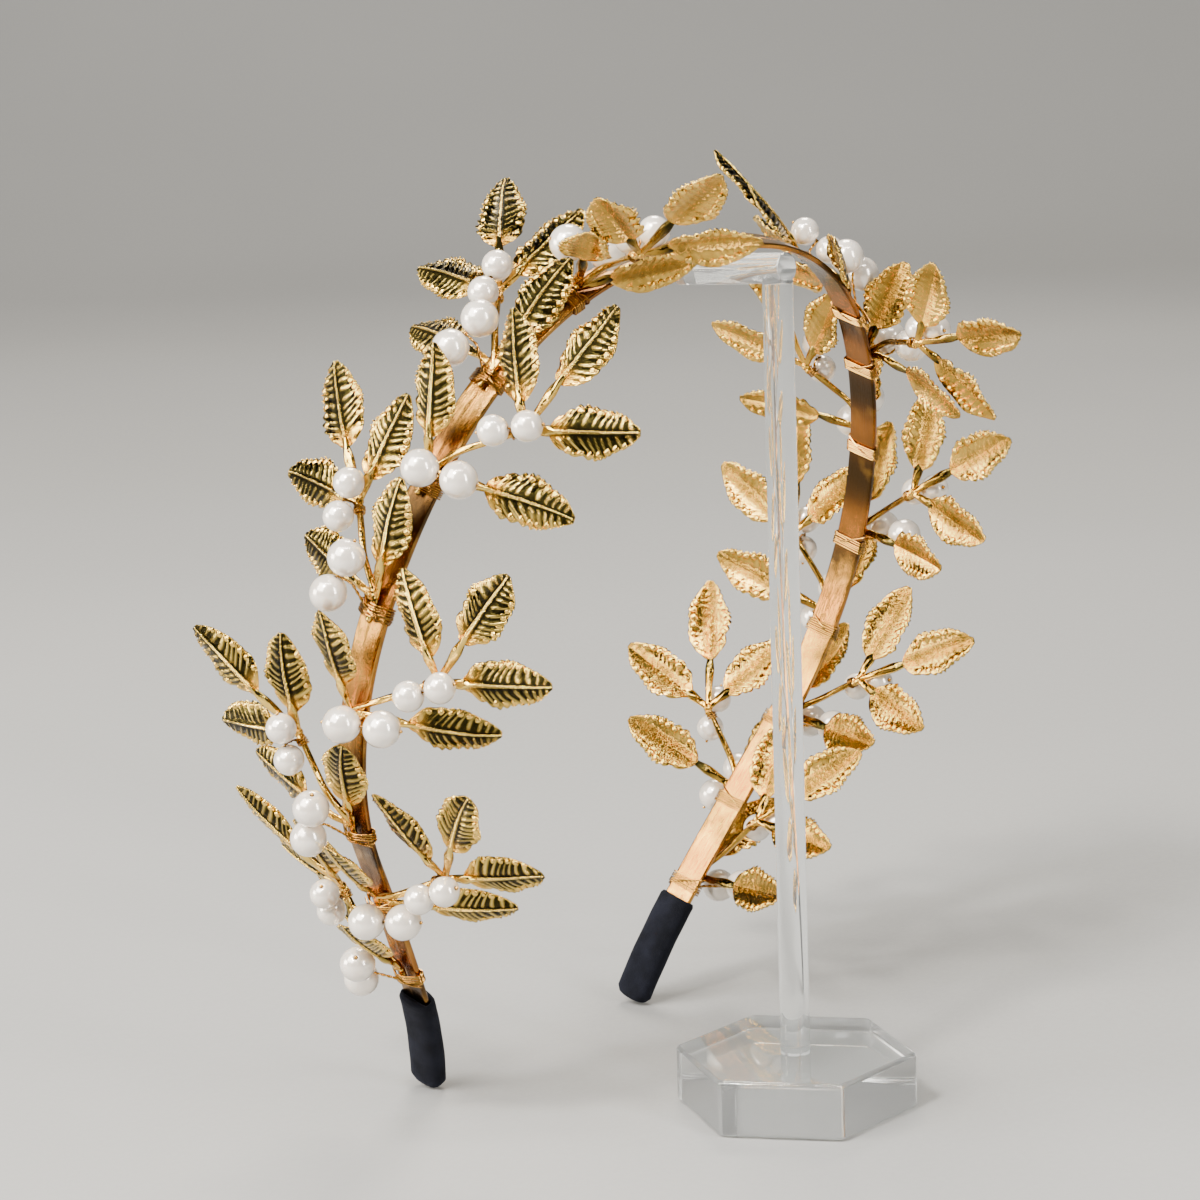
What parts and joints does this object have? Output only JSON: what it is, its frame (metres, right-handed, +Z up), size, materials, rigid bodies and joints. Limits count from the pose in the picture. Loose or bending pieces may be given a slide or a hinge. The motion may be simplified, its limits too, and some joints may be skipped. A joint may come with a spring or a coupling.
{
  "type": "leaf headband on display stand",
  "caption": "Gold hoop headband with soldered leaf sprigs, wired pearl pairs and velvet tip covers, resting on a clear hexagonal stand with a post and an arm.",
  "frame": {"origin": "middle of the underside of the stand's hexagonal base, on the floor", "axes": "+Z up, X along the hoop's width, +Y from the stand's post towards the hoop's tips behind it"},
  "size_m": [0.1496, 0.0952, 0.1599],
  "materials": {
    "clear_acrylic": "clear cast acrylic with polished faces",
    "band_gold": "polished gold plate with a copper tone",
    "velvet": "near-black velvet with a short pile",
    "leaf_gold": "polished gold plate on cast leaves with veins and beaded edges",
    "pearl": "ivory pearl coating, glossy",
    "wire_gold": "thin gold-coloured wire"
  },
  "bodies": {
    "root": {"stand_base": "clear_acrylic", "stand_post": "clear_acrylic", "stand_arm": "clear_acrylic", "band": "band_gold", "tip_cover_left": "velvet", "tip_cover_right": "velvet", "sprig_1": "leaf_gold", "sprig_2": "leaf_gold", "sprig_3": "leaf_gold", "sprig_4": "leaf_gold", "sprig_5": "leaf_gold", "sprig_6": "leaf_gold", "sprig_7": "leaf_gold", "sprig_8": "leaf_gold", "sprig_9": "leaf_gold", "sprig_10": "leaf_gold", "sprig_11": "leaf_gold", "sprig_12": "leaf_gold", "sprig_13": "leaf_gold", "sprig_14": "leaf_gold", "sprig_15": "leaf_gold", "sprig_16": "leaf_gold", "pearls_1": "pearl", "pearls_2": "pearl", "pearls_3": "pearl", "pearls_4": "pearl", "pearls_5": "pearl", "pearls_6": "pearl", "pearls_7": "pearl", "pearls_8": "pearl", "pearls_9": "pearl", "pearls_10": "pearl", "pearls_11": "pearl", "pearls_12": "pearl", "pearls_13": "pearl", "pearls_14": "pearl", "pearls_15": "pearl", "pearls_16": "pearl", "wires_1": "wire_gold", "wires_2": "wire_gold", "wires_3": "wire_gold", "wires_4": "wire_gold", "wires_5": "wire_gold", "wires_6": "wire_gold", "wires_7": "wire_gold", "wires_8": "wire_gold", "wires_9": "wire_gold", "wires_10": "wire_gold", "wires_11": "wire_gold", "wires_12": "wire_gold", "wires_13": "wire_gold", "wires_14": "wire_gold", "wires_15": "wire_gold", "wires_16": "wire_gold"}
  },
  "joints": []
}
